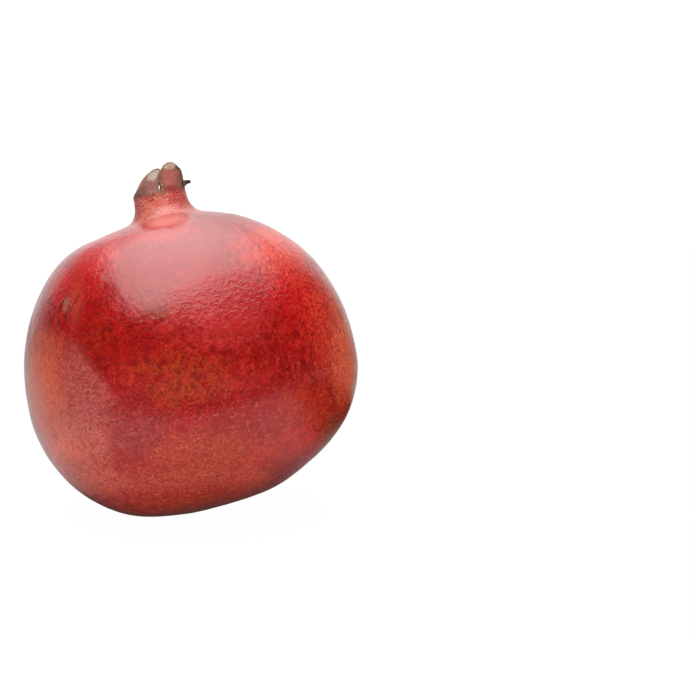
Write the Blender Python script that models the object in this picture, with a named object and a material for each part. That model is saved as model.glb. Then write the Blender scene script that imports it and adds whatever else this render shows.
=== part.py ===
"""A whole pomegranate, as picked, resting aslant on a small flat spot of its base.

Three pieces: the rind with its neck and six crown sepals, which grew as one body, the tuft of
dried stamens inside the crown, and the woody stub of the stalk in the basin at the stem end.
The fruit is shaped in its own frame, with its axis along +Z, the stem end down and the widest
girth at z = 0. An empty then tilts it into the pose in which it rests. Metres throughout.
"""

import math
import random

import bmesh
import bpy
from mathutils import Matrix, Vector

COLUMNS = 60  # round the fruit, and 6 degrees each
STEP_ANGLE = 2 * math.pi / COLUMNS
FRONT = -math.pi / 2  # the side that faces -Y, where column 0 and the crown's open notch are

# Body: two half superellipses that meet at the girth
GIRTH_RADIUS = 0.0501
SHOULDER_RISE = 0.0493
SHOULDER_FULLNESS = 2.19
SHOULDER_ROWS = 13
BASE_DROP = 0.0403
BASE_FULLNESS = 2.06
BASE_ROWS = 12
BODY_STARTS = (0.012, 0.030)  # within this distance of the axis its ends stay round and smooth
LOBES = 6  # the seed chambers show as faint flats between soft ridges
LOBE_SHARE = 0.008
LOBE_TURN = math.radians(43)
BASE_LEAN = 0.073  # the base grew lopsided: it hangs lower on the -X side
# Broad swellings and one dip, each (turn, rise, share of the radius, spread), angles in degrees
SWELLINGS = (
    (-129, -53, 0.043, 30),
    (142, -62, -0.100, 26),
    (-175, 58, 0.031, 22),
    (-8, -34, 0.025, 22),
)

# Basin at the stem end, with a socket for the stalk
BASIN_DEPTH = 0.0030
BASIN_RADIUS = 0.0078
BASIN_OFFSET = 0.0030
SOCKET_RADIUS = 0.0030
SOCKET_DEPTH = 0.0022
BASIN_ROWS = (0.0030, 0.0045, 0.0062, 0.0082, 0.0106, 0.0135)

# Neck, flaring from the shoulder up to the crown's mouth
NECK_OFFSET = 0.0020
NECK_RADIUS = 0.0078
NECK_FLARE = 0.0030
NECK_FLARE_LENGTH = 0.0021
NECK_FOOT = 0.0481
NECK_FOOT_RADIUS = 0.0118
MOUTH_HEIGHT = 0.0564
NECK_ROWS = 6

# Cup inside the crown
MOUTH_WALL = 0.0027
CUP_DEPTH = 0.0086
CUP_FLOOR_RADIUS = 0.0020
CUP_CORNER = 2.6
CUP_ROWS = 6

# Sepals: (columns, length, lean at the root, lean at the tip, tip's share of the width, taper,
# drop of the corners, thickness at the tip). A lean is in degrees towards the crown's axis, and
# a high taper keeps the blade wide until close under a round tip.
# The first stands on the +X side of the front notch, and the rest follow anticlockwise.
SEPALS = (
    (14, 0.0080, -6, 6, 0.58, 4.0, 0.22, 0.0011),
    (7, 0.0026, -52, -88, 0.10, 0.8, 0.30, 0.0007),
    (9, 0.0066, 4, 24, 0.30, 1.5, 0.30, 0.0010),
    (9, 0.0066, 16, 40, 0.25, 1.5, 0.30, 0.0010),
    (7, 0.0058, 32, 60, 0.25, 1.4, 0.30, 0.0010),
    (14, 0.0114, 40, 62, 0.62, 3.6, 0.16, 0.0010),
)
SEPAL_ROWS = 7
SEPAL_FLATTEN = 0.45
NOTCH_GAP = 0.00022

# Tuft of dried stamens round the style
STAMENS = 26
STAMEN_SEED = 11
STAMEN_RADIUS = 0.00032
STAMEN_SIDES = 4
ANTHER_RADIUS = 0.00055
TUFT_RADIUS = 0.0032
TUFT_THICKNESS = 0.0016
TUFT_GAP = 0.0004
STYLE_RADIUS = 0.0006
STYLE_HEIGHT = 0.0068

# Woody stub of the stalk
STUB_RADIUS = 0.0026
STUB_PROUD = 0.0014
STUB_SIDES = 12

# Rest pose
TILT_LEFT = math.radians(12.1)
TILT_BACK = math.radians(9.4)
FLAT_SPOT_DEPTH = 0.0006

RIND_RED = (0.50, 0.035, 0.020, 1)
STAMEN_BROWN = (0.32, 0.19, 0.08, 1)
STALK_BROWN = (0.20, 0.13, 0.08, 1)


def clear_scene():
    for obj in list(bpy.data.objects):
        bpy.data.objects.remove(obj, do_unlink=True)


def material(name, colour, roughness):
    made = bpy.data.materials.new(name)
    made.use_nodes = True
    shader = made.node_tree.nodes["Principled BSDF"]
    shader.inputs["Base Color"].default_value = colour
    shader.inputs["Roughness"].default_value = roughness
    shader.inputs["Metallic"].default_value = 0.0
    made.diffuse_color = colour
    return made


def smoothstep(low, high, value):
    share = min(1.0, max(0.0, (value - low) / (high - low)))
    return share * share * (3 - 2 * share)


def superellipse(radius, height, fullness, angle):
    """A point of the body's outline, angle 0 at the girth and a quarter turn at the pole."""
    power = 2 / fullness
    return radius * math.cos(angle) ** power, height * math.sin(angle) ** power


def base_height(radius):
    """How far below the girth the base lies at this distance from the axis."""
    share = (radius / GIRTH_RADIUS) ** BASE_FULLNESS
    basin = BASIN_DEPTH * math.exp(-((radius / BASIN_RADIUS) ** 2))
    return BASE_DROP * (1 - share) ** (1 / BASE_FULLNESS) - basin


def body_outline():
    """(radius, height) of each ring from the socket in the stem basin to the foot of the neck."""
    points = [(SOCKET_RADIUS, -base_height(SOCKET_RADIUS) + SOCKET_DEPTH)]
    points += [(radius, -base_height(radius)) for radius in BASIN_ROWS]
    lowest = math.acos((BASIN_ROWS[-1] / GIRTH_RADIUS) ** (BASE_FULLNESS / 2))
    for row in range(1, BASE_ROWS + 1):
        angle = lowest * (1 - row / BASE_ROWS)
        radius, drop = superellipse(GIRTH_RADIUS, BASE_DROP, BASE_FULLNESS, angle)
        basin = BASIN_DEPTH * math.exp(-((radius / BASIN_RADIUS) ** 2))
        points.append((radius, basin - drop))
    highest = math.acos((NECK_FOOT_RADIUS / GIRTH_RADIUS) ** (SHOULDER_FULLNESS / 2))
    for row in range(1, SHOULDER_ROWS + 1):
        angle = highest * row / SHOULDER_ROWS
        points.append(superellipse(GIRTH_RADIUS, SHOULDER_RISE, SHOULDER_FULLNESS, angle))
    return points


def neck_outline():
    """(radius, height) of each ring from the foot of the neck to the crown's mouth."""
    points = []
    for row in range(NECK_ROWS + 1):
        rise = (MOUTH_HEIGHT - NECK_FOOT) * (row / NECK_ROWS) ** 1.25
        points.append((NECK_RADIUS + NECK_FLARE * math.exp(-rise / NECK_FLARE_LENGTH), NECK_FOOT + rise))
    return points


def cup_outline():
    """(radius, height) of each ring inside the crown, from below the mouth down to the floor."""
    mouth = NECK_RADIUS - MOUTH_WALL
    points = []
    for row in range(1, CUP_ROWS + 1):
        angle = math.pi / 2 * row / CUP_ROWS
        reach, fall = superellipse(mouth - CUP_FLOOR_RADIUS, CUP_DEPTH, CUP_CORNER, angle)
        points.append((CUP_FLOOR_RADIUS + reach, MOUTH_HEIGHT - fall))
    return points


def swelling(direction):
    """The share by which the fruit's irregular growth swells it in a direction."""
    total = 0.0
    for turn, rise, share, spread in SWELLINGS:
        turn, rise = math.radians(turn), math.radians(rise)
        middle = Vector((math.cos(rise) * math.cos(turn), math.cos(rise) * math.sin(turn), math.sin(rise)))
        total += share * math.exp(-((direction.angle(middle) / math.radians(spread)) ** 2))
    return total


def place(radius, height, angle):
    """A point of the rind, with its lobes, its lopsided base and its swellings."""
    on_body = smoothstep(*BODY_STARTS, radius)
    reach = radius * (1 + on_body * LOBE_SHARE * math.cos(LOBES * (angle - LOBE_TURN)))
    offset = NECK_OFFSET if height > 0 else BASIN_OFFSET
    x = offset * (1 - on_body) + reach * math.cos(angle)
    lean = BASE_LEAN * smoothstep(0.0, BASE_DROP, -height)
    point = Vector((x, reach * math.sin(angle), height + lean * x))
    return point * (1 + on_body * swelling(point.normalized()))


def ring(mesh, radius, height):
    return [mesh.verts.new(place(radius, height, FRONT + STEP_ANGLE * i)) for i in range(COLUMNS)]


def skin(mesh, lower, upper, closed=True):
    """Quads between two rows of vertices."""
    count = len(lower) if closed else len(lower) - 1
    for i in range(count):
        j = (i + 1) % len(lower)
        mesh.faces.new((lower[i], lower[j], upper[j], upper[i]))


def spine(length, root_lean, tip_lean, share):
    """(inward, rise, lean) of a sepal's midline at a share of its length, bending evenly."""
    pieces = 16
    inward = rise = 0.0
    for piece in range(pieces):
        at = share * (piece + 0.5) / pieces
        lean = math.radians(root_lean + (tip_lean - root_lean) * at)
        inward += math.sin(lean) * length * share / pieces
        rise += math.cos(lean) * length * share / pieces
    return inward, rise, math.radians(root_lean + (tip_lean - root_lean) * share)


def sepal_row(mesh, shape, middle, row):
    """The outer and the inner vertices of one row across a sepal, above the mouth."""
    columns, length, root_lean, tip_lean, tip_width, taper, corner_drop, tip_thickness = shape
    share = 1 - (1 - row / SEPAL_ROWS) ** 1.4
    half_width = NECK_RADIUS * columns * STEP_ANGLE / 2
    width = half_width * (1 - (1 - tip_width) * share**taper) - NOTCH_GAP * min(1.0, 2 * share)
    bend_radius = NECK_RADIUS / (1 - SEPAL_FLATTEN * share)
    outward = Vector((math.cos(middle), math.sin(middle), 0))
    sideways = Vector((-math.sin(middle), math.cos(middle), 0))
    up = Vector((0, 0, 1))
    outer, inner = [], []
    for column in range(columns + 1):
        across = 2 * column / columns - 1
        reach = share * (1 - corner_drop * across * across)
        inward, rise, lean = spine(length, root_lean, tip_lean, reach)
        face = outward * math.cos(lean) + up * math.sin(lean)
        turn = across * width / bend_radius
        point = outward * (NECK_RADIUS - inward) + up * (MOUTH_HEIGHT + rise)
        point += sideways * bend_radius * math.sin(turn) - face * bend_radius * (1 - math.cos(turn))
        point.x += NECK_OFFSET
        thickness = MOUTH_WALL + (tip_thickness - MOUTH_WALL) * share**0.7
        normal = face * math.cos(turn) + sideways * math.sin(turn)
        outer.append(mesh.verts.new(point))
        inner.append(mesh.verts.new(point - normal * thickness))
    return outer, inner


def add_sepals(mesh, mouth_outside, mouth_inside):
    """Each sepal grows from its own stretch of the mouth, and shares that stretch's two ends."""
    first = 0
    for shape in SEPALS:
        columns = shape[0]
        span = [(first + i) % COLUMNS for i in range(columns + 1)]
        middle = FRONT + STEP_ANGLE * (first + columns / 2)
        outside = [mouth_outside[i] for i in span]
        inside = [mouth_inside[i] for i in span]
        for row in range(1, SEPAL_ROWS + 1):
            next_outside, next_inside = sepal_row(mesh, shape, middle, row)
            skin(mesh, outside, next_outside, closed=False)
            skin(mesh, next_inside, inside, closed=False)
            mesh.faces.new((inside[0], outside[0], next_outside[0], next_inside[0]))
            mesh.faces.new((outside[-1], inside[-1], next_inside[-1], next_outside[-1]))
            outside, inside = next_outside, next_inside
        skin(mesh, outside, inside, closed=False)
        first += columns


def fruit_mesh():
    """The rind as one closed mesh: outside from the stem socket up, the sepals, and the cup."""
    mesh = bmesh.new()
    outline = body_outline() + neck_outline()
    rings = [ring(mesh, radius, height) for radius, height in outline]
    mesh.faces.new(rings[0])
    for lower, upper in zip(rings, rings[1:]):
        skin(mesh, lower, upper)
    mouth_inside = ring(mesh, NECK_RADIUS - MOUTH_WALL, MOUTH_HEIGHT)
    add_sepals(mesh, rings[-1], mouth_inside)
    cup = [mouth_inside] + [ring(mesh, radius, height) for radius, height in cup_outline()]
    for lower, upper in zip(cup, cup[1:]):
        skin(mesh, lower, upper)
    mesh.faces.new(cup[-1])
    bmesh.ops.recalc_face_normals(mesh, faces=mesh.faces)
    return mesh


def flatten_resting_spot(mesh, tilt):
    """Cuts the small flat spot, level in the rest pose, and returns the spot's middle."""
    down = tilt.inverted() @ Vector((0, 0, -1))
    lowest = max(vertex.co.dot(down) for vertex in mesh.verts)
    level = down * (lowest - FLAT_SPOT_DEPTH)
    everything = mesh.verts[:] + mesh.edges[:] + mesh.faces[:]
    cut = bmesh.ops.bisect_plane(mesh, geom=everything, plane_co=level, plane_no=down, clear_outer=True)
    edges = [piece for piece in cut["geom_cut"] if isinstance(piece, bmesh.types.BMEdge)]
    made = bmesh.ops.contextual_create(mesh, geom=edges)
    bmesh.ops.recalc_face_normals(mesh, faces=mesh.faces)
    return made["faces"][0].calc_center_median_weighted()


def solid(name, mesh, finish, parent):
    """A finished object from a bmesh, shaded smooth, parented to the rest pose."""
    data = bpy.data.meshes.new(name)
    mesh.to_mesh(data)
    mesh.free()
    data.shade_smooth()
    data.set_sharp_from_angle(angle=math.radians(50))
    data.materials.append(finish)
    obj = bpy.data.objects.new(name, data)
    bpy.context.scene.collection.objects.link(obj)
    obj.parent = parent
    return obj


def tube_mesh(points, radii, sides):
    """A closed tube along points, with a radius at each."""
    mesh = bmesh.new()
    angles = [2 * math.pi * side / sides for side in range(sides)]
    rows = []
    for i, (point, radius) in enumerate(zip(points, radii)):
        ahead = points[min(i + 1, len(points) - 1)] - points[max(i - 1, 0)]
        turn = ahead.to_track_quat("Z", "Y")
        corners = [turn @ Vector((radius * math.cos(a), radius * math.sin(a), 0)) for a in angles]
        rows.append([mesh.verts.new(point + corner) for corner in corners])
    for lower, upper in zip(rows, rows[1:]):
        skin(mesh, lower, upper)
    mesh.faces.new(rows[0])
    mesh.faces.new(rows[-1])
    bmesh.ops.recalc_face_normals(mesh, faces=mesh.faces)
    return mesh


def tuft_floor(radius):
    """Height of the cup's floor at this distance from the crown's axis."""
    mouth = NECK_RADIUS - MOUTH_WALL - CUP_FLOOR_RADIUS
    share = max(0.0, (radius - CUP_FLOOR_RADIUS) / mouth) ** CUP_CORNER
    return MOUTH_HEIGHT - CUP_DEPTH * (1 - share) ** (1 / CUP_CORNER)


def tuft_core(finish, parent):
    """The low button in the floor of the cup that every stamen grows from."""
    sides = 20
    outline = [
        (TUFT_RADIUS * 0.55, tuft_floor(TUFT_RADIUS * 0.55) + TUFT_GAP),
        (TUFT_RADIUS, tuft_floor(TUFT_RADIUS) + TUFT_GAP * 1.6),
        (TUFT_RADIUS, tuft_floor(TUFT_RADIUS) + TUFT_THICKNESS),
        (TUFT_RADIUS * 0.5, tuft_floor(0) + TUFT_THICKNESS + TUFT_GAP),
    ]
    mesh = bmesh.new()
    rows = []
    for radius, height in outline:
        angles = [2 * math.pi * side / sides for side in range(sides)]
        corners = [(NECK_OFFSET + radius * math.cos(a), radius * math.sin(a), height) for a in angles]
        rows.append([mesh.verts.new(corner) for corner in corners])
    for lower, upper in zip(rows, rows[1:]):
        skin(mesh, lower, upper)
    mesh.faces.new(rows[0])
    mesh.faces.new(rows[-1])
    bmesh.ops.recalc_face_normals(mesh, faces=mesh.faces)
    return solid("stamens", mesh, finish, parent)


def stamen(draw, index):
    """One stamen: a filament from the button, bowing outwards, with its anther at the tip."""
    golden = math.pi * (3 - math.sqrt(5))
    angle = index * golden + draw.uniform(-0.2, 0.2)
    root = TUFT_RADIUS * (0.30 + 0.58 * math.sqrt((index + 0.5) / STAMENS))
    height = draw.uniform(0.0052, 0.0072)
    spread = draw.uniform(0.0000, 0.0009)
    twist = draw.uniform(-0.35, 0.35)
    foot = tuft_floor(0) + TUFT_THICKNESS - draw.uniform(0.0005, 0.0009)
    points = []
    for share in (0.0, 0.35, 0.70, 0.86, 0.93, 1.0):
        reach = root + spread * share**1.5
        turned = angle + twist * share
        x = NECK_OFFSET + reach * math.cos(turned)
        points.append(Vector((x, reach * math.sin(turned), foot + height * share)))
    radii = [STAMEN_RADIUS * s for s in (1.25, 1.0, 0.9, 0.85)] + [ANTHER_RADIUS, ANTHER_RADIUS * 0.5]
    return tube_mesh(points, radii, STAMEN_SIDES)


def style():
    """The style in the middle of the tuft, with its knob of a stigma."""
    foot = tuft_floor(0) + TUFT_THICKNESS - 0.0009
    points = [Vector((NECK_OFFSET, 0, foot + STYLE_HEIGHT * s)) for s in (0, 0.4, 0.8, 0.9, 0.97, 1.0)]
    return tube_mesh(points, [STYLE_RADIUS * s for s in (1.3, 1.0, 0.9, 1.5, 1.5, 0.8)], 6)


def add_stamens(finish, parent):
    """The button with all its stamens joined to it in one body."""
    draw = random.Random(STAMEN_SEED)
    core = tuft_core(finish, parent)
    group = bpy.data.collections.new("stamen_repeats")
    bpy.context.scene.collection.children.link(group)
    for index, mesh in enumerate([style()] + [stamen(draw, i) for i in range(STAMENS)]):
        data = bpy.data.meshes.new(f"stamen_{index}")
        mesh.to_mesh(data)
        mesh.free()
        piece = bpy.data.objects.new(f"stamen_{index}", data)
        group.objects.link(piece)
        piece.parent = parent
    join = core.modifiers.new("join", "BOOLEAN")
    join.operation = "UNION"
    join.solver = "MANIFOLD"
    join.operand_type = "COLLECTION"
    join.collection = group
    bpy.context.view_layer.update()
    with bpy.context.temp_override(object=core, active_object=core, selected_objects=[core]):
        bpy.ops.object.modifier_apply(modifier=join.name)
    for piece in list(group.objects):
        bpy.data.objects.remove(piece, do_unlink=True)
    bpy.data.collections.remove(group)
    return core


def add_stub(finish, parent):
    """The stalk's woody stub, set in its socket with a slightly waisted, rough-cut end."""
    root = place(0, -base_height(SOCKET_RADIUS) + SOCKET_DEPTH, 0)
    gap = SOCKET_RADIUS - STUB_RADIUS
    length = SOCKET_DEPTH + STUB_PROUD - gap
    points = [root + Vector((0, 0, -gap - length * s)) for s in (0.0, 0.45, 0.85, 1.0)]
    mesh = tube_mesh(points, [STUB_RADIUS * s for s in (0.92, 0.96, 1.0, 0.88)], STUB_SIDES)
    return solid("stem_stub", mesh, finish, parent)


def build():
    clear_scene()
    pose = bpy.data.objects.new("rest_pose", None)
    bpy.context.scene.collection.objects.link(pose)
    tilt = Matrix.Rotation(-TILT_BACK, 3, "X") @ Matrix.Rotation(-TILT_LEFT, 3, "Y")
    mesh = fruit_mesh()
    spot = flatten_resting_spot(mesh, tilt)
    pose.rotation_euler = tilt.to_euler()
    pose.location = tilt @ -spot
    solid("fruit", mesh, material("rind", RIND_RED, 0.32), pose)
    add_stamens(material("dried_stamens", STAMEN_BROWN, 0.75), pose)
    add_stub(material("woody_stalk", STALK_BROWN, 0.85), pose)


build()
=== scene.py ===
import math
import random

import bpy
from mathutils import Euler, Matrix, Vector
from mathutils.kdtree import KDTree


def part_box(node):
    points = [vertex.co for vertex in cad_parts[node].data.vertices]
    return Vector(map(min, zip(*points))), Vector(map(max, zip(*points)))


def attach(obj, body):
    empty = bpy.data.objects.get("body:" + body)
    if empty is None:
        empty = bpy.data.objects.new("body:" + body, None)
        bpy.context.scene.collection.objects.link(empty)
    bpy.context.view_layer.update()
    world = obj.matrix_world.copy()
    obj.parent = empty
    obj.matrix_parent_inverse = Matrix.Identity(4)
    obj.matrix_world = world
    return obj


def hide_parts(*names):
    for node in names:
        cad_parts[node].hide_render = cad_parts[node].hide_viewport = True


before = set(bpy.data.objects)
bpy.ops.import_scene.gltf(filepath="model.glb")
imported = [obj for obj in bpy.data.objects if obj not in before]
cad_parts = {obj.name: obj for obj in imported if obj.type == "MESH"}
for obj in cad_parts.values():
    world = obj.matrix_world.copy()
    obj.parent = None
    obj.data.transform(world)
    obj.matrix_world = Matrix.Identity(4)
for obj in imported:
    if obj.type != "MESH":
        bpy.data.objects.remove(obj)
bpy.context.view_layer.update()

# The camera
# A long lens just above the fruit. The photograph shows the fruit in the left half of its
# frame, so the camera aims to the right of the fruit, and needs no shift.
CAMERA_DISTANCE = 0.900
CAMERA_PITCH = math.radians(11)
PIXEL = 0.00030
FRAME_PIXELS = 696
HEART_HEIGHT = 0.0450
HEART_PIXEL = (191, 362)
SENSOR = 36.0
fruit_low, fruit_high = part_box("fruit")
HEART = Vector(((fruit_low.x + fruit_high.x) / 2, (fruit_low.y + fruit_high.y) / 2, HEART_HEIGHT))
forward = Vector((0, math.cos(CAMERA_PITCH), -math.sin(CAMERA_PITCH)))
upward = Vector((0, math.sin(CAMERA_PITCH), math.cos(CAMERA_PITCH)))
aside = (FRAME_PIXELS / 2 - HEART_PIXEL[0]) * PIXEL
below = (HEART_PIXEL[1] - FRAME_PIXELS / 2) * PIXEL
aim = HEART + Vector((aside, 0, 0)) + upward * below
lens = bpy.data.cameras.new("camera")
lens.sensor_width = SENSOR
lens.lens = CAMERA_DISTANCE / PIXEL / FRAME_PIXELS * SENSOR
lens.clip_start = 0.05
camera = bpy.data.objects.new("camera", lens)
camera.location = aim - forward * CAMERA_DISTANCE
camera.rotation_euler = (math.pi / 2 - CAMERA_PITCH, 0, 0)
bpy.context.scene.collection.objects.link(camera)
bpy.context.scene.camera = camera
bpy.context.scene.view_settings.view_transform = "Standard"

# The rind
# The rind, its neck and its six dried sepals grew as one leathery body. It starts as a copy of
# the plain solid: its facets are rounded off, and its skin and sepals get their unevenness.
LEAN_BACK = math.radians(-9.4)
LEAN_LEFT = math.radians(-12.1)
LEAN = Euler((LEAN_BACK, 0, 0)).to_matrix() @ Euler((0, LEAN_LEFT, 0)).to_matrix()
TUFT_ABOVE_GIRTH = Vector((0.0020, -0.0001, 0.0522))
CROWN_ASIDE = 0.0020
MOUTH = 0.0564
NECK_FOOT = 0.0481
NECK_FOOT_REACH = 0.0045
NECK_SPREAD = 0.0220
NECK_FOOT_STEPS = 130
WITHER_FROM = MOUTH - 0.0006
WITHER_OVER = 0.0016
RESTING_HEIGHT = 0.004
RIM_ANGLE = math.radians(48)
RIM_CREASE = 0.55
QUAD_ANGLE = math.radians(60)
MERGE_DISTANCE = 0.00001
# The unevenness of its surface, each (grain, depth, where)
RELIEFS = (
    (0.0150, 0.00030, "body skin"),
    (0.0040, 0.00010, "body skin"),
    (0.0022, 0.00045, "dried sepals"),
    (0.0009, 0.00022, "dried sepals"),
)
tuft_low, tuft_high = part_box("stamens")
GIRTH = (tuft_low + tuft_high) / 2 - LEAN @ TUFT_ABOVE_GIRTH


def active_only(piece):
    bpy.ops.object.select_all(action="DESELECT")
    bpy.context.view_layer.objects.active = piece
    piece.select_set(True)


def own_frame(point):
    """A point measured from the middle of the girth, with Z along the fruit's leaning axis."""
    return LEAN.transposed() @ (point - GIRTH)


def crease_rims(piece, angle, above):
    """Creases the free edges of the sepals, and gives points along them."""
    bpy.ops.object.mode_set(mode="EDIT")
    bpy.ops.mesh.select_all(action="DESELECT")
    bpy.ops.mesh.edges_select_sharp(sharpness=angle)
    bpy.ops.object.mode_set(mode="OBJECT")
    corners = piece.data.vertices
    points = []
    for edge in piece.data.edges:
        first, second = (corners[i].co for i in edge.vertices)
        if edge.select and own_frame((first + second) / 2).z > above:
            points += [first.lerp(second, share) for share in (0.0, 0.33, 0.67)]
        else:
            edge.select = False
    bpy.ops.object.mode_set(mode="EDIT")
    bpy.ops.transform.edge_crease(value=RIM_CREASE)
    bpy.ops.object.mode_set(mode="OBJECT")
    return points


def roughen(piece, grain, depth, group=""):
    """Pushes the surface in and out by a cloudy pattern of a given grain."""
    clouds = bpy.data.textures.new(f"{piece.name} relief", "CLOUDS")
    clouds.noise_scale = grain
    clouds.noise_depth = 2
    push = piece.modifiers.new("relief", "DISPLACE")
    push.texture = clouds
    push.texture_coords = "LOCAL"
    push.strength = depth
    push.vertex_group = group
    bpy.ops.object.modifier_apply(modifier="relief")


rind = bpy.data.objects.new("rind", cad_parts["fruit"].data.copy())
bpy.context.scene.collection.objects.link(rind)
active_only(rind)
bpy.ops.object.mode_set(mode="EDIT")
bpy.ops.mesh.select_all(action="SELECT")
bpy.ops.mesh.remove_doubles(threshold=MERGE_DISTANCE)
bpy.ops.mesh.tris_convert_to_quads(face_threshold=QUAD_ANGLE, shape_threshold=QUAD_ANGLE)
bpy.ops.object.mode_set(mode="OBJECT")
rim_points = crease_rims(rind, RIM_ANGLE, MOUTH + 0.0002)
smooth = rind.modifiers.new("smooth", "SUBSURF")
smooth.levels = smooth.render_levels = 2
bpy.ops.object.modifier_apply(modifier="smooth")

rim_tree = KDTree(len(rim_points))
for index, point in enumerate(rim_points):
    rim_tree.insert(point, index)
rim_tree.balance()
body_skin = rind.vertex_groups.new(name="body skin")
dried = rind.vertex_groups.new(name="dried sepals")
neck_foot = rind.vertex_groups.new(name="neck foot")
rim_distances = []
for vertex in rind.data.vertices:
    spot = own_frame(vertex.co)
    withered = min(1.0, max(0.0, (spot.z - WITHER_FROM) / WITHER_OVER))
    dried.add([vertex.index], withered, "REPLACE")
    resting = min(1.0, vertex.co.z / RESTING_HEIGHT)
    body_skin.add([vertex.index], (1 - withered) * resting, "REPLACE")
    rim_distances.append(rim_tree.find(vertex.co)[2])
    share = 1 - abs(spot.z - NECK_FOOT) / NECK_FOOT_REACH
    if share > 0 and spot.xy.length < NECK_SPREAD:
        neck_foot.add([vertex.index], min(1.0, 2 * share), "REPLACE")
soften = rind.modifiers.new("soften", "SMOOTH")
soften.factor = 0.5
soften.iterations = NECK_FOOT_STEPS
soften.vertex_group = "neck foot"
bpy.ops.object.modifier_apply(modifier="soften")
from_rim = rind.data.attributes.new("from rim", "FLOAT", "POINT")
from_rim.data.foreach_set("value", rim_distances)
for grain, depth, where in RELIEFS:
    roughen(rind, grain, depth, where)
bpy.ops.object.shade_smooth()


def seen(pixel):
    """The point of the rind that the photograph shows at a pixel."""
    u = (pixel[0] - FRAME_PIXELS / 2) * PIXEL
    v = (FRAME_PIXELS / 2 - pixel[1]) * PIXEL
    target = aim + Vector((u, 0, 0)) + upward * v
    hit, point, _, _ = rind.ray_cast(camera.location, (target - camera.location).normalized())
    return point if hit else rind.closest_point_on_mesh(target)[1]


class Wire:
    """A value in a finish's nodes. Sums and products of wires add the Math nodes that they need."""

    def __init__(self, socket):
        self.socket = socket

    @staticmethod
    def feed(socket, value):
        if isinstance(value, Wire):
            socket.id_data.links.new(value.socket, socket)
        else:
            socket.default_value = value

    def maths(self, operation, *values, clamp=False):
        node = self.socket.id_data.nodes.new("ShaderNodeMath")
        node.operation = operation
        node.use_clamp = clamp
        for socket, value in zip(node.inputs, values):
            Wire.feed(socket, value)
        return Wire(node.outputs[0])

    def __add__(self, other):
        return self.maths("ADD", self, other)

    __radd__ = __add__

    def __sub__(self, other):
        return self.maths("SUBTRACT", self, other)

    def __rsub__(self, other):
        return self.maths("SUBTRACT", other, self)

    def __mul__(self, other):
        return self.maths("MULTIPLY", self, other)

    def clamped(self):
        return self.maths("ADD", self, 0.0, clamp=True)


class Finish:
    """A material under construction: its shader, and the nodes that feed it."""

    def __init__(self, name):
        self.material = bpy.data.materials.new(name)
        self.material.use_nodes = True
        self.tree = self.material.node_tree
        self.shader = self.tree.nodes["Principled BSDF"]
        self.place = self.node("ShaderNodeTexCoord", out="Object")

    def node(self, kind, settings=None, sockets=None, out=0):
        """Adds a node, with its settings first, then its sockets, and gives the output asked for."""
        node = self.tree.nodes.new(kind)
        for key, value in (settings or {}).items():
            setattr(node, key, value)
        for key, value in (sockets or {}).items():
            Wire.feed(node.inputs[key], value)
        return Wire(node.outputs[out])

    def local(self, vector, origin, turn):
        """A vector measured from a point, along a turned frame's own axes."""
        sockets = {"Vector": vector, "Location": tuple(origin), "Rotation": tuple(turn)}
        return self.node("ShaderNodeMapping", {"vector_type": "TEXTURE"}, sockets)

    def split(self, vector):
        """The x, y and z of a vector."""
        node = self.tree.nodes.new("ShaderNodeSeparateXYZ")
        Wire.feed(node.inputs[0], vector)
        return [Wire(socket) for socket in node.outputs]

    def joined(self, x, y, z):
        return self.node("ShaderNodeCombineXYZ", None, {"X": x, "Y": y, "Z": z})

    def vector(self, operation, first, second, out=0):
        return self.node("ShaderNodeVectorMath", {"operation": operation}, {0: first, 1: second}, out)

    def unit(self, vector):
        return self.vector("NORMALIZE", vector, (0, 0, 0))

    def length(self, vector):
        return self.vector("LENGTH", vector, (0, 0, 0), "Value")

    def attribute(self, name):
        return self.node("ShaderNodeAttribute", {"attribute_name": name}, out="Fac")

    def noise(self, vector, scale, detail=2.0, roughness=0.5, warp=0.0):
        sockets = {"Vector": vector, "Scale": scale, "Detail": detail, "Roughness": roughness}
        sockets["Distortion"] = warp
        return self.node("ShaderNodeTexNoise", None, sockets)

    def cells(self, vector, scale):
        """The distance to the nearest of scattered points, from 0 at the point."""
        return self.node("ShaderNodeTexVoronoi", None, {"Vector": vector, "Scale": scale})

    def fade(self, value, low, high):
        """0 below low, 1 above high, and smooth between. It fades the other way if low is above high."""
        sockets = {"Value": value, "From Min": low, "From Max": high}
        return self.node("ShaderNodeMapRange", {"interpolation_type": "SMOOTHSTEP"}, sockets)

    def near(self, centre, reach, core=0.0, turn=(0, 0, 0)):
        """1 at a point of the surface, fading to 0 at a reach given along each axis."""
        away = self.local(self.place, centre, turn)
        share = self.vector("MULTIPLY", away, tuple(1 / length for length in reach))
        return self.fade(self.length(share), 1.0, core)

    def mix(self, first, second, factor):
        """One colour laid over another by a mask."""
        first = first if isinstance(first, Wire) else (*first, 1)
        second = second if isinstance(second, Wire) else (*second, 1)
        return self.node("ShaderNodeMix", {"data_type": "RGBA"}, {0: factor, 6: first, 7: second}, 2)

    def bump(self, height, distance):
        return self.node("ShaderNodeBump", None, {"Height": height, "Distance": distance})

    def set(self, **values):
        """Feeds the shader's sockets. An underscore stands for a space in a socket's name."""
        for key, value in values.items():
            Wire.feed(self.shader.inputs[key.replace("_", " ")], value)

    def wear(self, piece):
        piece.data.materials.clear()
        piece.data.materials.append(self.material)


CRIMSON = (0.310, 0.0022, 0.0028)
DEEP_RED = (0.165, 0.0022, 0.0034)
BRIGHT_RED = (0.370, 0.0035, 0.0028)
AMBER = (0.268, 0.0200, 0.0006)
DOT_GOLD = (0.520, 0.1200, 0.0600)
OLIVE = (0.280, 0.1150, 0.0740)
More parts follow.
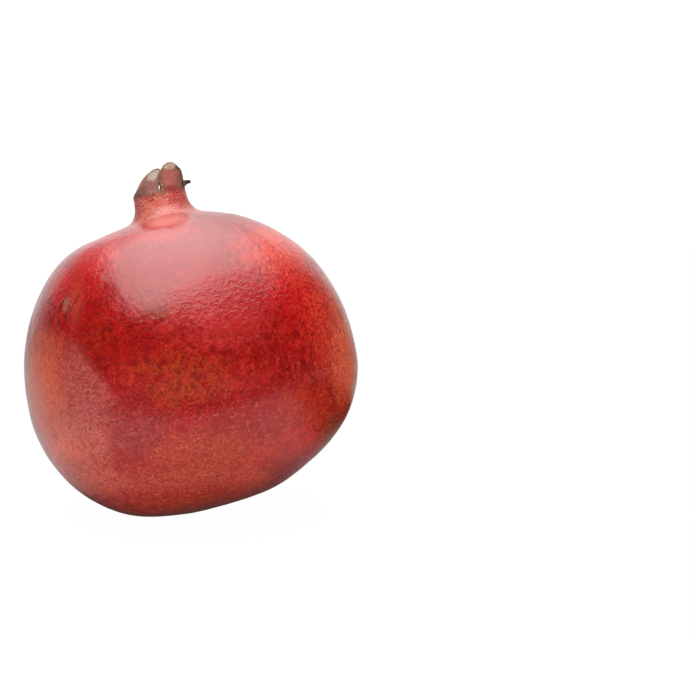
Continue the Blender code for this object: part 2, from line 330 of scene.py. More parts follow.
# Patches of other colour and of painted light, each (pixel of its middle, reach across, in depth and up,
# colour, strength)
PATCHES_AND_PAINTED_LIGHT = (
    ((42, 398), (0.019, 0.034, 0.032), (0.600, 0.0800, 0.0250), 0.88),
    ((80, 438), (0.018, 0.030, 0.016), (0.460, 0.0780, 0.0480), 0.85),
    ((68, 468), (0.015, 0.030, 0.021), (0.740, 0.1200, 0.0640), 0.88),
    ((90, 478), (0.024, 0.030, 0.013), (0.480, 0.0660, 0.0380), 0.88),
    ((210, 455), (0.036, 0.034, 0.014), (0.380, 0.0330, 0.0090), 0.85),
    ((135, 426), (0.015, 0.020, 0.017), (0.250, 0.0170, 0.0170), 0.70),
    ((270, 455), (0.014, 0.030, 0.011), (0.500, 0.0260, 0.0100), 0.75),
    ((306, 412), (0.017, 0.030, 0.017), (0.440, 0.0150, 0.0030), 0.85),
    ((300, 442), (0.014, 0.030, 0.010), (0.540, 0.0130, 0.0060), 0.88),
    ((195, 482), (0.040, 0.030, 0.009), (0.400, 0.0430, 0.0210), 0.80),
    ((250, 482), (0.012, 0.020, 0.010), (0.560, 0.0560, 0.0300), 0.85),
    # Painted light: the right side is lightened where the lamps leave it darker
    ((298, 298), (0.018, 0.030, 0.026), (0.530, 0.0050, 0.0050), 0.80),
    ((85, 282), (0.012, 0.030, 0.011), (0.400, 0.0060, 0.0050), 0.60),
    ((324, 318), (0.012, 0.030, 0.028), (0.580, 0.0260, 0.0110), 0.75),
    # Painted reflection: a lighter strip along the right rim
    ((345, 365), (0.007, 0.030, 0.026), (0.640, 0.0560, 0.0220), 0.88),
    ((333, 430), (0.007, 0.020, 0.012), (0.260, 0.0450, 0.0140), 0.75),
    ((278, 252), (0.024, 0.030, 0.017), (0.570, 0.0240, 0.0130), 0.85),
    ((284, 240), (0.016, 0.030, 0.011), (0.760, 0.0380, 0.0120), 0.85),
    ((200, 504), (0.050, 0.030, 0.011), (0.370, 0.0270, 0.0090), 0.88),
    ((60, 291), (0.009, 0.020, 0.014), (0.540, 0.0130, 0.0150), 0.80),
    # Painted light: the left shoulder is lightened
    ((98, 248), (0.016, 0.030, 0.0125), (0.530, 0.0130, 0.0110), 0.85),
    # Painted light: the top by the neck is lightened
    ((146, 231), (0.026, 0.020, 0.006), (0.500, 0.0120, 0.0120), 0.80),
    ((158, 313), (0.007, 0.020, 0.0032), (0.260, 0.0800, 0.0360), 0.60),
)


def stroke(first, last):
    """A straight line over the rind between two pixels: its middle, half its length and its turn."""
    begin, end = seen(first), seen(last)
    along = end - begin
    return (begin + end) / 2, along.length / 2, along.to_track_quat("X", "Z").to_euler()


skin = Finish("pomegranate rind")
own = skin.local(skin.place, GIRTH, LEAN.to_euler())
own_x, own_y, own_z = skin.split(own)
outward = skin.unit(skin.joined(own_x, own_y, 0.0))
meridian = skin.vector("MULTIPLY", outward, (0.05, 0.05, 0))
meridian = skin.vector("ADD", meridian, skin.joined(0.0, 0.0, own_z * 0.22))
blotch = skin.noise(own, 130, 3, 0.6)
swirl = skin.noise(own, 165, 2, 0.50, 1.6)
mottle = skin.noise(own, 380, 3, 0.55, 0.8)
speck = skin.noise(own, 1450, 2, 0.6, 0.3)
hairs = skin.noise(skin.vector("MULTIPLY", own, (1.0, 1.0, 2.0)), 480, 3, 0.62, 1.4)
streak = skin.noise(meridian, 800, 3, 0.6)

tone = skin.mix(CRIMSON, DEEP_RED, skin.fade(blotch, 0.52, 0.74) * 0.35)
for pixel, reach, tint, strength in PATCHES_AND_PAINTED_LIGHT:
    ragged = skin.near(seen(pixel), reach) + (mottle - 0.5) * 0.7 + (blotch - 0.5) * 0.5
    tone = skin.mix(tone, tint, skin.fade(ragged, 0.10, 0.80) * strength)

# The band round the girth is marbled with orange, bright red and dark red. Its top has a pink painted
# highlight.
BAND_PIXEL = (180, 350)
BAND_RED = (0.232, 0.0044, 0.0014)
AMBER_PIXEL = (180, 379)
LEFT_AMBER_PIXEL = (104, 332)
BAND_TOP_HIGHLIGHT_PIXEL = (222, 325)
BAND_TOP_HIGHLIGHT_PINK = (0.380, 0.0260, 0.0220)
vivid = skin.near(seen(BAND_PIXEL), (0.062, 0.050, 0.020), 0.35)
tone = skin.mix(tone, BAND_RED, vivid * 0.62)
amber_zone = skin.near(seen(AMBER_PIXEL), (0.024, 0.034, 0.0130), 0.1)
amber_zone = amber_zone + skin.near(seen(LEFT_AMBER_PIXEL), (0.012, 0.030, 0.011)) * 0.3
amber = skin.fade(swirl * 0.84 + mottle * 0.16 + amber_zone * 0.09, 0.46, 0.60)
amber = amber * skin.fade(amber_zone + (blotch - 0.5) * 0.8, 0.0, 0.8)
tone = skin.mix(tone, AMBER, amber * 0.88)
bright = skin.fade(mottle * 0.65 + swirl * 0.35, 0.52, 0.62)
tone = skin.mix(tone, BRIGHT_RED, bright * (0.20 + vivid * 0.44))
dark = skin.fade(mottle + (speck - 0.5) * 0.2, 0.47, 0.34)
tone = skin.mix(tone, DEEP_RED, dark * (0.14 + vivid * 0.52))
# Painted highlight: pink at the band's top, where the ceiling's reflection fades out
band_top_highlight = skin.near(seen(BAND_TOP_HIGHLIGHT_PIXEL), (0.0300, 0.030, 0.0120))
band_top_highlight = band_top_highlight + (mottle - 0.5) * 1.4 + (swirl - 0.5) * 0.8
tone = skin.mix(tone, BAND_TOP_HIGHLIGHT_PINK, skin.fade(band_top_highlight, 0.05, 1.00) * 0.62)

# Its lower half is clouded with tan hairs, and the shoulder at the right has pale streaks.
TAN_HAIR = (0.450, 0.0850, 0.0380)
DARK_HAIR = (0.240, 0.0140, 0.0160)
PALE_STREAK = (0.560, 0.0750, 0.0350)
DARK_STREAK = (0.190, 0.0050, 0.0050)
UNSTREAKED_PIXEL = (290, 318)
lower_half = skin.fade(own_z, 0.004, -0.014)
tone = skin.mix(tone, TAN_HAIR, skin.fade(hairs, 0.52, 0.66) * (0.04 + lower_half * 0.46))
tone = skin.mix(tone, DARK_HAIR, skin.fade(hairs, 0.47, 0.34) * lower_half * 0.40)
shoulder = skin.fade(own_x, 0.014, 0.038) * skin.fade(own_z, -0.012, 0.004)
shoulder = shoulder * (1.0 - skin.near(seen(UNSTREAKED_PIXEL), (0.020, 0.030, 0.022), 0.3) * 0.8)
tone = skin.mix(tone, PALE_STREAK, skin.fade(streak, 0.52, 0.62) * shoulder * 0.66)
tone = skin.mix(tone, DARK_STREAK, skin.fade(streak, 0.47, 0.36) * shoulder * 0.55)

# Fine specks lighten and darken it everywhere, and pale dots are its pores.
FLANK_PIXEL = (46, 405)
CALM_PIXEL = (165, 262)
specks = skin.fade(speck + (mottle - 0.5) * 0.25, 0.37, 0.63) - 0.5
flank = skin.near(seen(FLANK_PIXEL), (0.018, 0.034, 0.030), 0.3)
calm = skin.near(seen(CALM_PIXEL), (0.029, 0.030, 0.021), 0.4)
upper = skin.fade(own_z, 0.018, 0.034)
lively = (1.0 - vivid * 0.45) * (1.0 - lower_half * 0.35) * (1.0 - upper * 0.40)
lively = lively * (1.0 - flank * 0.55) * (1.0 - calm * 0.45)
red_gain = 1.0 + specks * lively * 0.62
other_gain = 1.0 + specks * lively * 1.50
tone = skin.vector("MULTIPLY", tone, skin.joined(red_gain, other_gain, other_gain))
pore = skin.fade(skin.cells(own, 880), 0.24, 0.10) * skin.fade(skin.noise(own, 420, 2), 0.44, 0.58)
tone = skin.mix(tone, DOT_GOLD, pore * (0.34 - vivid * 0.12))

# At the left a crease runs down from an old scuff, with short dark rucks beside it and painted shade along
# it.
SALMON_PIXEL = (75, 300)
SALMON = (0.460, 0.0500, 0.0300)
SCUFF_ENDS = ((72, 292), (64, 316))
RUCK_ENDS = ((70, 283), (50, 330))
RUCK_DARK = (0.140, 0.0030, 0.0050)
CREASE_ENDS = ((74, 336), (112, 388))
CREASE_PAINTED_SHADE = (0.150, 0.0060, 0.0080)
PINK_AND_REFLECTION_PIXEL = (87, 388)
DULL_PINK_AND_REFLECTION = (0.250, 0.0230, 0.0220)
PALE_PINK_AND_REFLECTION = (0.440, 0.0820, 0.0640)
tone = skin.mix(tone, SALMON, skin.near(seen(SALMON_PIXEL), (0.0045, 0.02, 0.011)) * 0.70)
scuff_middle, scuff_half, scuff_turn = stroke(*SCUFF_ENDS)
scuff = skin.near(scuff_middle, (scuff_half * 1.50, 0.02, 0.0008), 0.0, scuff_turn)
scuff = scuff * (1.0 + (mottle + speck - 1.0) * 3.0)
ruck_middle, ruck_half, ruck_turn = stroke(*RUCK_ENDS)
ruck_place = skin.vector("MULTIPLY", skin.local(skin.place, ruck_middle, ruck_turn), (0.30, 1, 1))
ruck = skin.fade(skin.noise(ruck_place, 950, 2, 0.6, 0.4), 0.48, 0.60)
ruck = ruck * skin.near(ruck_middle, (ruck_half * 1.25, 0.02, 0.0042), 0.2, ruck_turn)
tone = skin.mix(tone, RUCK_DARK, ruck * 0.85)
tone = skin.mix(tone, OLIVE, skin.fade(scuff, 0.15, 1.00) * 0.62)
crease_middle, crease_half, crease_turn = stroke(*CREASE_ENDS)
crease_side = skin.split(skin.local(skin.place, crease_middle, crease_turn))[2]
crease_side = crease_side + (mottle + speck - 1.0) * 0.0034
# On one side of the crease the rind is pink, partly its own colour and partly a painted reflection of the
# pale card at the left
pink_and_reflection_side = skin.near(seen(PINK_AND_REFLECTION_PIXEL), (0.014, 0.030, 0.019), 0.2)
pink_and_reflection_side = pink_and_reflection_side * skin.fade(crease_side, 0.0007, -0.0014)
pink_and_reflection_tone = skin.mix(DULL_PINK_AND_REFLECTION, PALE_PINK_AND_REFLECTION, skin.fade(hairs + (speck - 0.5) * 0.4, 0.38, 0.62))
tone = skin.mix(tone, pink_and_reflection_tone, pink_and_reflection_side * 0.80)
# Painted shade: a dark line along the crease
crease = skin.near(crease_middle, (crease_half, 0.02, 0.00060), 0.1, crease_turn)
crease = crease * skin.fade(speck, 0.36, 0.56)
tone = skin.mix(tone, CREASE_PAINTED_SHADE, crease * 0.65)

# The neck has a painted salmon highlight at its foot and is dashed with dark red, and the sepals dried
# brown.
NECK_PINK = (0.540, 0.0850, 0.0600)
FOOT_HIGHLIGHT_PIXEL = (168, 221)
FOOT_HIGHLIGHT_PINK = (0.700, 0.2100, 0.1700)
NECK_TONES = ((0.500, 0.0850, 0.0680), (0.560, 0.1500, 0.1050))
NECK_DASH = (0.210, 0.0080, 0.0100)
NECK_DOT = (0.700, 0.3600, 0.2400)
# The neck's two shaded sides, each (pixel, reach, colour, strength)
NECK_SIDES = (
    ((138, 207), (0.0022, 0.008, 0.0060), (0.360, 0.0750, 0.0800), 0.85),
    ((178, 204), (0.0036, 0.008, 0.0050), (0.480, 0.0650, 0.0560), 0.70),
)
crown = skin.joined(own_x - CROWN_ASIDE, own_y, 0.0)
crown_out = skin.unit(crown)
crown_reach = skin.length(crown)
round_neck = skin.vector("MULTIPLY", crown_out, (0.0085, 0.0085, 0))
dash_place = skin.vector("ADD", round_neck, skin.joined(0.0, 0.0, own_z * 2.0))
dashes = skin.noise(dash_place, 1050, 2, 0.55)
near_crown = skin.fade(crown_reach, 0.0175, 0.0105) * skin.fade(own_z, 0.030, 0.045)
neck = near_crown * skin.fade(own_z, NECK_FOOT - 0.0020, NECK_FOOT + 0.0014)
tone = skin.mix(tone, NECK_PINK, near_crown * 0.80)
# Painted highlight: pale salmon at the neck's foot, where the ceiling's reflection reaches it
foot_highlight = skin.near(seen(FOOT_HIGHLIGHT_PIXEL), (0.0105, 0.008, 0.0026), 0.4)
tone = skin.mix(tone, FOOT_HIGHLIGHT_PINK, foot_highlight * 0.80)
neck_tone = skin.mix(*NECK_TONES, skin.fade(blotch + (mottle - 0.5) * 0.5, 0.40, 0.62))
for pixel, reach, tint, strength in NECK_SIDES:
    neck_tone = skin.mix(neck_tone, tint, skin.near(seen(pixel), reach) * strength)
high_neck = 0.45 + skin.fade(own_z, NECK_FOOT + 0.0030, MOUTH - 0.0010) * 0.50
neck_tone = skin.mix(neck_tone, NECK_DASH, skin.fade(dashes, 0.52, 0.60) * high_neck)
neck_tone = skin.mix(neck_tone, NECK_DOT, skin.fade(skin.cells(own, 1050), 0.26, 0.12) * 0.55)
tone = skin.mix(tone, neck_tone, neck)

SEPAL_TONES = ((0.300, 0.0950, 0.0680), (0.170, 0.0620, 0.0420))
CUP_TONES = ((0.190, 0.1000, 0.0500), (0.090, 0.0420, 0.0220))
RIM_TAN = (0.200, 0.1350, 0.0850)
# Patches on the two front sepals, as above, each also with the share of its reach that is even
SEPAL_PATCHES = (
    ((171, 178), (0.0038, 0.006, 0.0050), (0.400, 0.1050, 0.0800), 0.90, 0.0),
    ((172, 189), (0.0044, 0.006, 0.0020), (0.250, 0.0230, 0.0240), 0.80, 0.0),
    ((147, 186), (0.0042, 0.006, 0.0032), (0.190, 0.0460, 0.0340), 0.90, 0.0),
    ((140, 193), (0.0040, 0.006, 0.0022), (0.115, 0.0400, 0.0190), 0.85, 0.1),
    ((153, 175), (0.0034, 0.006, 0.0030), (0.400, 0.3000, 0.2350), 0.90, 0.1),
    ((170, 165), (0.0036, 0.006, 0.0019), (0.480, 0.3200, 0.2200), 0.90, 0.2),
)
ragged_mouth = own_z + (skin.noise(own, 700, 2, 0.6) - 0.5) * 0.0030
sepal = skin.fade(ragged_mouth, MOUTH - 0.0016, MOUTH - 0.0002)
fibre = skin.noise(skin.vector("ADD", round_neck, skin.joined(0.0, 0.0, own_z * 0.3)), 1500, 3, 0.65)
sepal_tone = skin.mix(*SEPAL_TONES, skin.fade(fibre, 0.42, 0.62))
for pixel, reach, tint, strength, core in SEPAL_PATCHES:
    ragged = skin.fade(skin.near(seen(pixel), reach, core) + (mottle - 0.5) * 0.5, 0.05, 0.75)
    sepal_tone = skin.mix(sepal_tone, tint, ragged * strength)
rim = skin.attribute("from rim")
normal = skin.local(skin.node("ShaderNodeTexCoord", out="Normal"), (0, 0, 0), LEAN.to_euler())
facing = skin.vector("DOT_PRODUCT", normal, crown_out, "Value")
inside = skin.fade(facing, 0.15, -0.25) * skin.fade(own_z, MOUTH - 0.0100, MOUTH - 0.0060)
dry_rim = skin.fade(rim + (fibre - 0.5) * 0.0006, 0.0006, 0.0002)
sepal_tone = skin.mix(sepal_tone, RIM_TAN, dry_rim * 0.55)
tone = skin.mix(tone, sepal_tone, sepal * near_crown)
cup_tone = skin.mix(*CUP_TONES, skin.fade(fibre, 0.40, 0.60))
tone = skin.mix(tone, cup_tone, inside * skin.fade(crown_reach, 0.0110, 0.0085) * near_crown)

# Frayed tan edges line the slit between the two front sepals. The slit is painted shade, with a small white
# spot painted in it.
SLIT_ENDS = ((157.6, 177), (162.3, 196))
SLIT_PAINTED_SHADE = (0.040, 0.0180, 0.0090)
FRAYED_TAN = (0.330, 0.2300, 0.1500)
WHITE_SPOT_PIXEL = (159.3, 187.0)
SLIT_WHITE_SPOT = (0.850, 0.8200, 0.7600)
slit_middle, slit_half, slit_turn = stroke(*SLIT_ENDS)
frayed = skin.near(slit_middle, (slit_half * 1.30, 0.006, 0.0012), 0.0, slit_turn)
frayed = frayed * (1.0 + (speck - 0.5) * 4.0)
tone = skin.mix(tone, FRAYED_TAN, skin.fade(frayed, 0.30, 0.80) * 0.75)
# Painted shade: the slit's dark line
slit_shade = skin.near(slit_middle, (slit_half * 0.90, 0.003, 0.00040), 0.1, slit_turn)
tone = skin.mix(tone, SLIT_PAINTED_SHADE, skin.fade(slit_shade, 0.10, 0.60) * 0.95)
# A small white spot painted in the slit
white_spot = skin.near(seen(WHITE_SPOT_PIXEL), (0.00021, 0.003, 0.00070), 0.4)
tone = skin.mix(tone, SLIT_WHITE_SPOT, white_spot)

# The corner at the left and the thin spike dried nearly black; the right rim's dark line is painted shade.
RIGHT_RIM_SHADE_PIXEL = (180, 179)
CORNER_PIXEL = (134.5, 193)
SPIKE_PIXEL = (187.5, 183.8)
# Dark lines, each (first pixel, last pixel); the first, down the right sepal's rim, is painted shade
BLACK_EDGE_ENDS = (((180.6, 168), (183.0, 191)), ((138.5, 187.5), (133.0, 197.5)))
DRIED_BLACK_AND_SHADE = (0.030, 0.0120, 0.0070)
black_and_shade = skin.fade(rim + (fibre - 0.5) * 0.0004, 0.00095, 0.00045)
# Painted shade along the right sepal's rim
black_and_shade = black_and_shade * skin.near(seen(RIGHT_RIM_SHADE_PIXEL), (0.0038, 0.008, 0.0056), 0.5)
black_and_shade = black_and_shade + skin.near(seen(CORNER_PIXEL), (0.0015, 0.006, 0.0022), 0.3)
black_and_shade = black_and_shade + skin.near(seen(SPIKE_PIXEL), (0.0020, 0.006, 0.0014), 0.7)
for ends in BLACK_EDGE_ENDS:
    edge_middle, edge_half, edge_turn = stroke(*ends)
    black_and_shade = black_and_shade + skin.near(edge_middle, (edge_half, 0.006, 0.0009), 0.4, edge_turn)
tone = skin.mix(tone, DRIED_BLACK_AND_SHADE, black_and_shade.clamped() * near_crown * 0.88)

# Underneath, the skin is corky and yellowish round the stalk's basin.
BASIN_REACH = (0.017, 0.017, 0.017)
CORK = (0.280, 0.1100, 0.0350)
stalk_low, stalk_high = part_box("stem_stub")
stalk_middle = (stalk_low + stalk_high) / 2
basin = skin.near(stalk_middle, BASIN_REACH, 0.2)
corky = skin.fade(basin + (mottle - 0.5) * 0.9, 0.25, 0.95)
tone = skin.mix(tone, CORK, corky * 0.70)

# It has a fine leathery grain all over, wrinkles below its shoulder and a smoother patch above.
WRINKLED_PIXEL = (232, 300)
WRINKLED_RED = (0.430, 0.0090, 0.0110)
GRAIN_DEPTH = 0.000085
wrinkled = skin.near(seen(WRINKLED_PIXEL), (0.026, 0.030, 0.0140)) + (blotch - 0.5) * 0.6
wrinkled = skin.fade(wrinkled, 0.02, 0.60)
tone = skin.mix(tone, WRINKLED_RED, wrinkled * 0.45)
leather = skin.node(
    "ShaderNodeTexVoronoi", {"feature": "SMOOTH_F1"}, {"Vector": own, "Scale": 620, "Smoothness": 0.6}
)
wrinkles = skin.noise(skin.vector("MULTIPLY", own, (1, 1, 1.25)), 620, 3, 0.60, 0.6)
relief = speck * (0.6 - calm * 0.35) + leather * (1.1 - calm * 0.8)
relief = relief + wrinkles * (1.3 - calm * 0.9 + wrinkled * 3.0)
crown_dry = sepal * near_crown
relief = relief + fibre * crown_dry * 2.5 + dashes * neck * 1.6 + ruck - crease * 0.8
waxy = (1 - crown_dry * 0.85) * (1 - neck * 0.45)
skin.set(Base_Color=tone, Roughness=0.22 + crown_dry * 0.35 + wrinkled * 0.04 + neck * 0.16)
skin.set(Specular_IOR_Level=0.70, Coat_Weight=waxy * (1 - wrinkled) * 0.30, Coat_Roughness=0.12)
skin.set(Normal=skin.bump(relief, GRAIN_DEPTH))
skin.wear(rind)
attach(rind, "root")
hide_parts("fruit")

# The stamens
# A tuft of dried stamens stands round the style on a button on the floor of the cup, as the
# flower left them. Each is a thin straw-brown thread that swells to an anther at its tip.
STAMEN_COUNT = 58
STAMEN_LENGTHS = (0.0044, 0.0064)
STAMEN_BENDS = (-25, 40)
STAMEN_LEANS = (0.00, 0.16)
GOLDEN_ANGLE = math.pi * (3 - math.sqrt(5))
THREAD_RADIUS = 0.00013
ANTHER_RADIUS = 0.00034
ANTHER_LENGTH = 0.00075
STYLE_RADIUS = 0.00045
STYLE_LENGTH = 0.0058
STIGMA_RADIUS = 0.0007
STIGMA_LENGTH = 0.0009
BUTTON_RADIUS = 0.0031
BUTTON_FLATNESS = 0.36
BUTTON_HEIGHT = 0.0490
tuft_foot = GIRTH + LEAN @ Vector((CROWN_ASIDE, 0, BUTTON_HEIGHT))


def finish_in_place(piece, location, turn, scale=(1, 1, 1)):
    """Puts a piece made at the origin where it belongs, and leaves its own origin where it was."""
    piece.location = location
    piece.rotation_euler = turn
    piece.scale = scale
    active_only(piece)
    bpy.ops.object.transform_apply(location=True, rotation=True, scale=True)


def thread(name, radius, length, tip_radius, tip_length, bend):
    """A thread grown up from a small ring, swelling to a rounded tip, and bent over to one side."""
    bpy.ops.object.select_all(action="DESELECT")
    bpy.ops.mesh.primitive_circle_add(vertices=5, radius=radius * 1.3, fill_type="NGON", location=(0, 0, 0))
    piece = bpy.context.active_object
    piece.name = name
    swell = tip_radius / radius
    bpy.ops.object.mode_set(mode="EDIT")
    bpy.ops.mesh.select_all(action="SELECT")
    for rise, spread in ((0.20, 0.77), (0.22, 1.0), (0.22, 1.0), (0.20, 0.9)):
        bpy.ops.mesh.extrude_region_move(TRANSFORM_OT_translate={"value": (0, 0, length * rise)})
        bpy.ops.transform.resize(value=(spread, spread, 1))
    for rise, spread in ((0.15, swell), (0.40, 1.1), (0.35, 0.75), (0.10, 0.35)):
        bpy.ops.mesh.extrude_region_move(TRANSFORM_OT_translate={"value": (0, 0, tip_length * rise)})
        bpy.ops.transform.resize(value=(spread, spread, 1))
    bpy.ops.mesh.select_all(action="SELECT")
    bpy.ops.mesh.normals_make_consistent(inside=False)
    bpy.ops.object.mode_set(mode="OBJECT")
    curl = piece.modifiers.new("curl", "SIMPLE_DEFORM")
    curl.deform_method = "BEND"
    curl.deform_axis = "X"
    curl.angle = bend
    bpy.ops.object.modifier_apply(modifier="curl")
    return piece


draw = random.Random(7)
threads = []
for index in range(STAMEN_COUNT):
    turn = index * GOLDEN_ANGLE
    out = BUTTON_RADIUS * (0.25 + 0.70 * math.sqrt((index + 0.5) / STAMEN_COUNT))
    length = draw.uniform(*STAMEN_LENGTHS)
    bend = math.radians(draw.uniform(*STAMEN_BENDS))
    tilt = draw.uniform(*STAMEN_LEANS)
    piece = thread(f"stamen_{index}", THREAD_RADIUS, length, ANTHER_RADIUS, ANTHER_LENGTH, bend)
    foot = tuft_foot + LEAN @ Vector((out * math.cos(turn), out * math.sin(turn), 0.0010))
    stand = LEAN @ Matrix.Rotation(turn + math.pi / 2, 3, "Z") @ Matrix.Rotation(tilt, 3, "X")
    finish_in_place(piece, foot, stand.to_euler())
    threads.append(piece)
style = thread("style", STYLE_RADIUS, STYLE_LENGTH, STIGMA_RADIUS, STIGMA_LENGTH, 0.1)
finish_in_place(style, tuft_foot + LEAN @ Vector((0, 0, 0.0008)), LEAN.to_euler())
bpy.ops.object.select_all(action="DESELECT")
bpy.ops.mesh.primitive_uv_sphere_add(segments=32, ring_count=16, radius=BUTTON_RADIUS, location=(0, 0, 0))
button = bpy.context.active_object
finish_in_place(button, tuft_foot + LEAN @ Vector((0, 0, 0.0002)), LEAN.to_euler(), (1, 1, BUTTON_FLATNESS))
roughen(button, 0.0007, 0.00030)
active_only(button)
for piece in threads + [style]:
    piece.select_set(True)
bpy.ops.object.join()
tuft = bpy.context.active_object
tuft.name = "stamen_tuft"
bpy.ops.object.shade_smooth()

STRAW_TONES = ((0.300, 0.1600, 0.0600), (0.160, 0.0750, 0.0300))
TUFT_FOOT_BROWN = (0.080, 0.0380, 0.0180)
POLLEN_TAN = (0.360, 0.2200, 0.0850)
straw = Finish("dried stamens")
above_foot = straw.split(straw.local(straw.place, tuft_foot, LEAN.to_euler()))[2]
patchy = straw.noise(straw.place, 900, 2, 0.6)
straw_tone = straw.mix(*STRAW_TONES, straw.fade(patchy, 0.38, 0.62))
straw_tone = straw.mix(TUFT_FOOT_BROWN, straw_tone, straw.fade(above_foot, 0.0006, 0.0030))
straw_tone = straw.mix(straw_tone, POLLEN_TAN, straw.fade(above_foot, 0.0052, 0.0064) * 0.7)
straw.set(Base_Color=straw_tone, Roughness=0.75)
straw.set(Normal=straw.bump(straw.noise(straw.place, 4000, 2), 0.00003))
straw.wear(tuft)
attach(tuft, "root")
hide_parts("stamens")

# The stalk's stub
# The woody end of the stalk, clipped off just outside the basin. It has furrowed grey-brown
# bark, and its cut face has a pale ring of wood round a dark pith.
STUB_RADIUS = 0.00247
STUB_LENGTH = 0.0032
RING_INSETS = (0.00025, 0.0007, 0.0007)
BARK_TONES = ((0.200, 0.1300, 0.0750), (0.070, 0.0420, 0.0260))
WOOD_TONES = ((0.420, 0.3000, 0.1700), (0.300, 0.1900, 0.0950))
PITH_BROWN = (0.120, 0.0700, 0.0380)
BARK_RING = (0.090, 0.0550, 0.0320)
bpy.ops.object.select_all(action="DESELECT")
bpy.ops.mesh.primitive_cylinder_add(
    vertices=40, radius=STUB_RADIUS, depth=STUB_LENGTH, end_fill_type="NGON", location=(0, 0, 0)
)
stub = bpy.context.active_object
stub.name = "stalk_stub"
bpy.ops.object.mode_set(mode="EDIT")
bpy.ops.mesh.select_all(action="DESELECT")
bpy.ops.object.mode_set(mode="OBJECT")
for face in stub.data.polygons:
    face.select = abs(face.normal.z) > 0.9
bpy.ops.object.mode_set(mode="EDIT")
for inset in RING_INSETS:
    bpy.ops.mesh.inset(thickness=inset)
bpy.ops.mesh.select_all(action="SELECT")
bpy.ops.mesh.subdivide(number_cuts=3)
bpy.ops.object.mode_set(mode="OBJECT")
finish_in_place(stub, stalk_middle, LEAN.to_euler())
roughen(stub, 0.0008, 0.00035)
bpy.ops.object.shade_smooth()

bark = Finish("woody stalk")
stub_place = bark.local(bark.place, stalk_middle, LEAN.to_euler())
stub_x, stub_y, stub_z = bark.split(stub_place)
from_pith = bark.length(bark.joined(stub_x, stub_y, 0.0))
furrow = bark.noise(bark.vector("MULTIPLY", stub_place, (1, 1, 0.3)), 1600, 3, 0.65)
bark_tone = bark.mix(*BARK_TONES, bark.fade(furrow, 0.40, 0.60))
wood_tone = bark.mix(*WOOD_TONES, bark.fade(from_pith, 0.0004, 0.0019))
wood_tone = bark.mix(PITH_BROWN, wood_tone, bark.fade(from_pith, 0.0003, 0.0006))
wood_tone = bark.mix(wood_tone, BARK_RING, bark.fade(from_pith, 0.0020, 0.0023))
cut_face = bark.fade(stub_z, -0.0012, -0.00145)
bark_tone = bark.mix(bark_tone, wood_tone, cut_face * 0.9)
bark.set(Base_Color=bark_tone, Roughness=0.85, Normal=bark.bump(furrow, 0.00020))
bark.wear(stub)
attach(stub, "root")
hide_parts("stem_stub")

# The table
# A plain white sheet. It ends a hand's breadth in front of the fruit, where the dark room shows
# in the rind's wax. To the camera it is burnt out to white, as in the photograph.
TABLE_SPAN = (2.40, 0.66)
TABLE_FRONT = -0.146
SHEET_GREY = (0.44, 0.44, 0.44, 1)
GLARE = 1.04
WHITE_OUT = 0.95
bpy.ops.object.select_all(action="DESELECT")
bpy.ops.mesh.primitive_plane_add(size=1, location=(0, TABLE_FRONT + TABLE_SPAN[1] / 2, 0))
table = bpy.context.active_object
table.name = "table"
table.scale = (*TABLE_SPAN, 1)
bpy.ops.object.transform_apply(location=True, rotation=True, scale=True)
sheet = Finish("white sheet")
sheet.set(Base_Color=SHEET_GREY, Roughness=0.9, Specular_IOR_Level=0.0)
glare = sheet.node("ShaderNodeEmission", None, {"Strength": GLARE})
seen_by_camera = sheet.node("ShaderNodeLightPath", out="Is Camera Ray")
plain = Wire(sheet.shader.outputs["BSDF"])
burnt = sheet.node("ShaderNodeMixShader", None, {0: seen_by_camera * WHITE_OUT, 1: plain, 2: glare})
Wire.feed(sheet.tree.nodes["Material Output"].inputs["Surface"], burnt)
sheet.wear(table)

# The cards beside the fruit
# A dark red card lies at its right and a buff one stands behind that, and a pale one stands at
# its left. Only the rind's wax shows them: they cast no shadow, and the camera doesn't see them.
DARK_CORNERS = ((0.030, -0.020, 0.002), (0.42, -0.160, 0.002), (0.035, 0.110, 0.002), (0.42, 0.110, 0.002))
DARK_GLOW = (0.12, 0.030, 0.020)
BUFF_CORNERS = ((0.055, 0.085, -0.04), (0.320, 0.05, -0.04), (0.055, 0.085, 0.110), (0.320, 0.05, 0.120))
BUFF_GLOW = (0.55, 0.27, 0.16)
PALE_CORNERS = ((-0.30, -0.33, -0.02), (-0.30, 0.44, -0.02), (-0.30, -0.12, 0.150), (-0.30, 0.44, 0.070))
PALE_GLOW = (0.50, 0.38, 0.32)


def card(name, corners, glow, soft):
    """A four-cornered card, seen in reflections alone. It fades out over a soft share of its width."""
    bpy.ops.object.select_all(action="DESELECT")
    bpy.ops.mesh.primitive_plane_add(size=1, location=(0, 0, 0))
    piece = bpy.context.active_object
    piece.name = name
    for vertex, corner in zip(piece.data.vertices, corners):
        vertex.co = corner
    piece.visible_camera = piece.visible_shadow = piece.visible_diffuse = False
    paper = Finish(name)
    u, v, _ = paper.split(paper.node("ShaderNodeTexCoord", out="UV"))
    cover = paper.fade(u, 0, soft) * paper.fade(u, 1, 1 - soft)
    cover = cover * paper.fade(v, 0, soft) * paper.fade(v, 1, 1 - soft)
    paper.set(Base_Color=(0, 0, 0, 1), Specular_IOR_Level=0.0, Alpha=cover)
    paper.set(Emission_Color=(*glow, 1), Emission_Strength=1.0)
    paper.wear(piece)


card("dark_card", DARK_CORNERS, DARK_GLOW, 0.12)
card("buff_card", BUFF_CORNERS, BUFF_GLOW, 0.25)
card("pale_card", PALE_CORNERS, PALE_GLOW, 0.10)

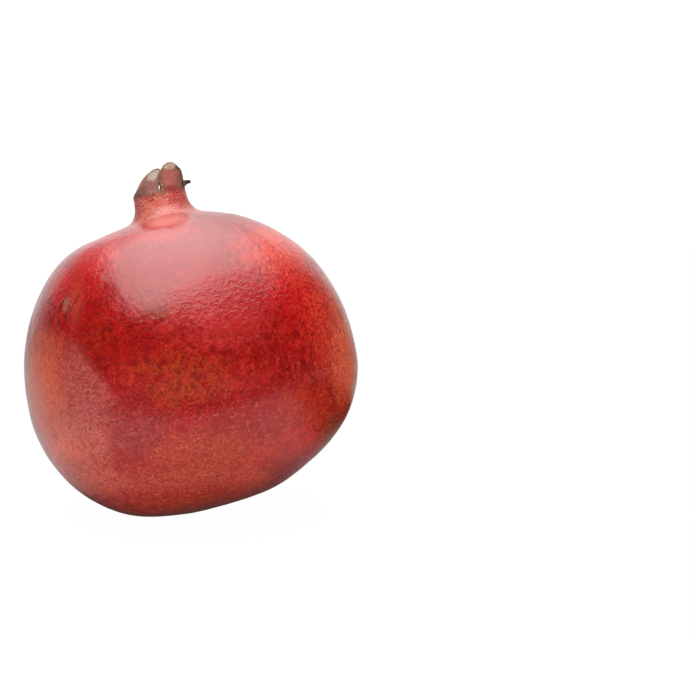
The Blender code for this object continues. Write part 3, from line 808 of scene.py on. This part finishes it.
# The ceiling light
# A large white diffuser overhead, bright above the fruit and dimmer towards the back. Its edges
# fade to the dim ceiling round it. The camera doesn't see it.
CEILING_MIDDLE = (0.03, 0.30, 0.545)
CEILING_SIZE = (1.30, 1.70, 1)
bpy.ops.object.select_all(action="DESELECT")
bpy.ops.mesh.primitive_plane_add(size=1, location=(0, 0, 0))
ceiling = bpy.context.active_object
ceiling.name = "ceiling_light"
finish_in_place(ceiling, CEILING_MIDDLE, (math.pi, 0, 0), CEILING_SIZE)
ceiling.visible_camera = False
lamp = Finish("ceiling light")
ceiling_x, ceiling_y, _ = lamp.split(lamp.place)
front_edge = ceiling_y + lamp.fade(ceiling_x, -0.05, 0.60) * -0.42
right_edge = ceiling_x + ceiling_y * 0.7
within = lamp.fade(ceiling_x, -0.405, -0.370) * lamp.fade(right_edge, 0.58, 0.525)
within = within * lamp.fade(front_edge, -0.41, -0.30)
bright = 3.45 - lamp.fade(ceiling_y, 0.05, 0.75) * 2.10 - lamp.fade(ceiling_x, -0.15, -0.40) * 0.80
bright = bright - lamp.fade(ceiling_x, 0.00, 0.40) * lamp.fade(ceiling_y, 0.50, 0.15) * 1.60
dim = 1.25 - lamp.fade(ceiling_x, 0.35, 0.60) * 0.70 - lamp.fade(ceiling_x, -0.20, -0.42) * 0.95
dim = dim * lamp.fade(ceiling_y, 0.15, 0.85)
lit = lamp.node("ShaderNodeEmission", None, {"Strength": within * bright + (1 - within) * dim})
Wire.feed(lamp.tree.nodes["Material Output"].inputs["Surface"], lit)
lamp.wear(ceiling)

# The front light and the room
# A wide, low light stands in front of the fruit and leaves no reflection. The room round it is
# dim, with a bright wall behind the fruit, and the camera sees it all as white.
FRONT_SIZE = (2.20, 0.36)
FRONT_RADIANCE = 5.25
FRONT_PLACE = (0.08, -0.85, 0.10)
ROOM_DIM = 0.045
WALL_BRIGHT = 0.90
BACKDROP_WHITE = 1.1
front = bpy.data.lights.new("front_fill", "AREA")
front.shape = "RECTANGLE"
front.size, front.size_y = FRONT_SIZE
front.energy = FRONT_RADIANCE * math.pi * FRONT_SIZE[0] * FRONT_SIZE[1]
fitting = bpy.data.objects.new("front_fill", front)
fitting.location = FRONT_PLACE
fitting.rotation_euler = (math.pi / 2, 0, 0)
fitting.visible_camera = fitting.visible_glossy = False
bpy.context.scene.collection.objects.link(fitting)

world = bpy.data.worlds.new("studio")
bpy.context.scene.world = world
world.use_nodes = True
sky = world.node_tree
backdrop = sky.nodes["Background"]
backdrop.inputs["Color"].default_value = (1, 1, 1, 1)
direction = sky.nodes.new("ShaderNodeTexCoord")
parts = sky.nodes.new("ShaderNodeSeparateXYZ")
sky.links.new(direction.outputs["Generated"], parts.inputs[0])
behind = sky.nodes.new("ShaderNodeMapRange")
behind.interpolation_type = "SMOOTHSTEP"
behind.inputs["From Min"].default_value = 0.58
behind.inputs["To Min"].default_value = ROOM_DIM
behind.inputs["To Max"].default_value = WALL_BRIGHT
sky.links.new(parts.outputs["Y"], behind.inputs["Value"])
path = sky.nodes.new("ShaderNodeLightPath")
choice = sky.nodes.new("ShaderNodeMix")
choice.inputs["B"].default_value = BACKDROP_WHITE
sky.links.new(path.outputs["Is Camera Ray"], choice.inputs["Factor"])
sky.links.new(behind.outputs["Result"], choice.inputs["A"])
sky.links.new(choice.outputs["Result"], backdrop.inputs["Strength"])
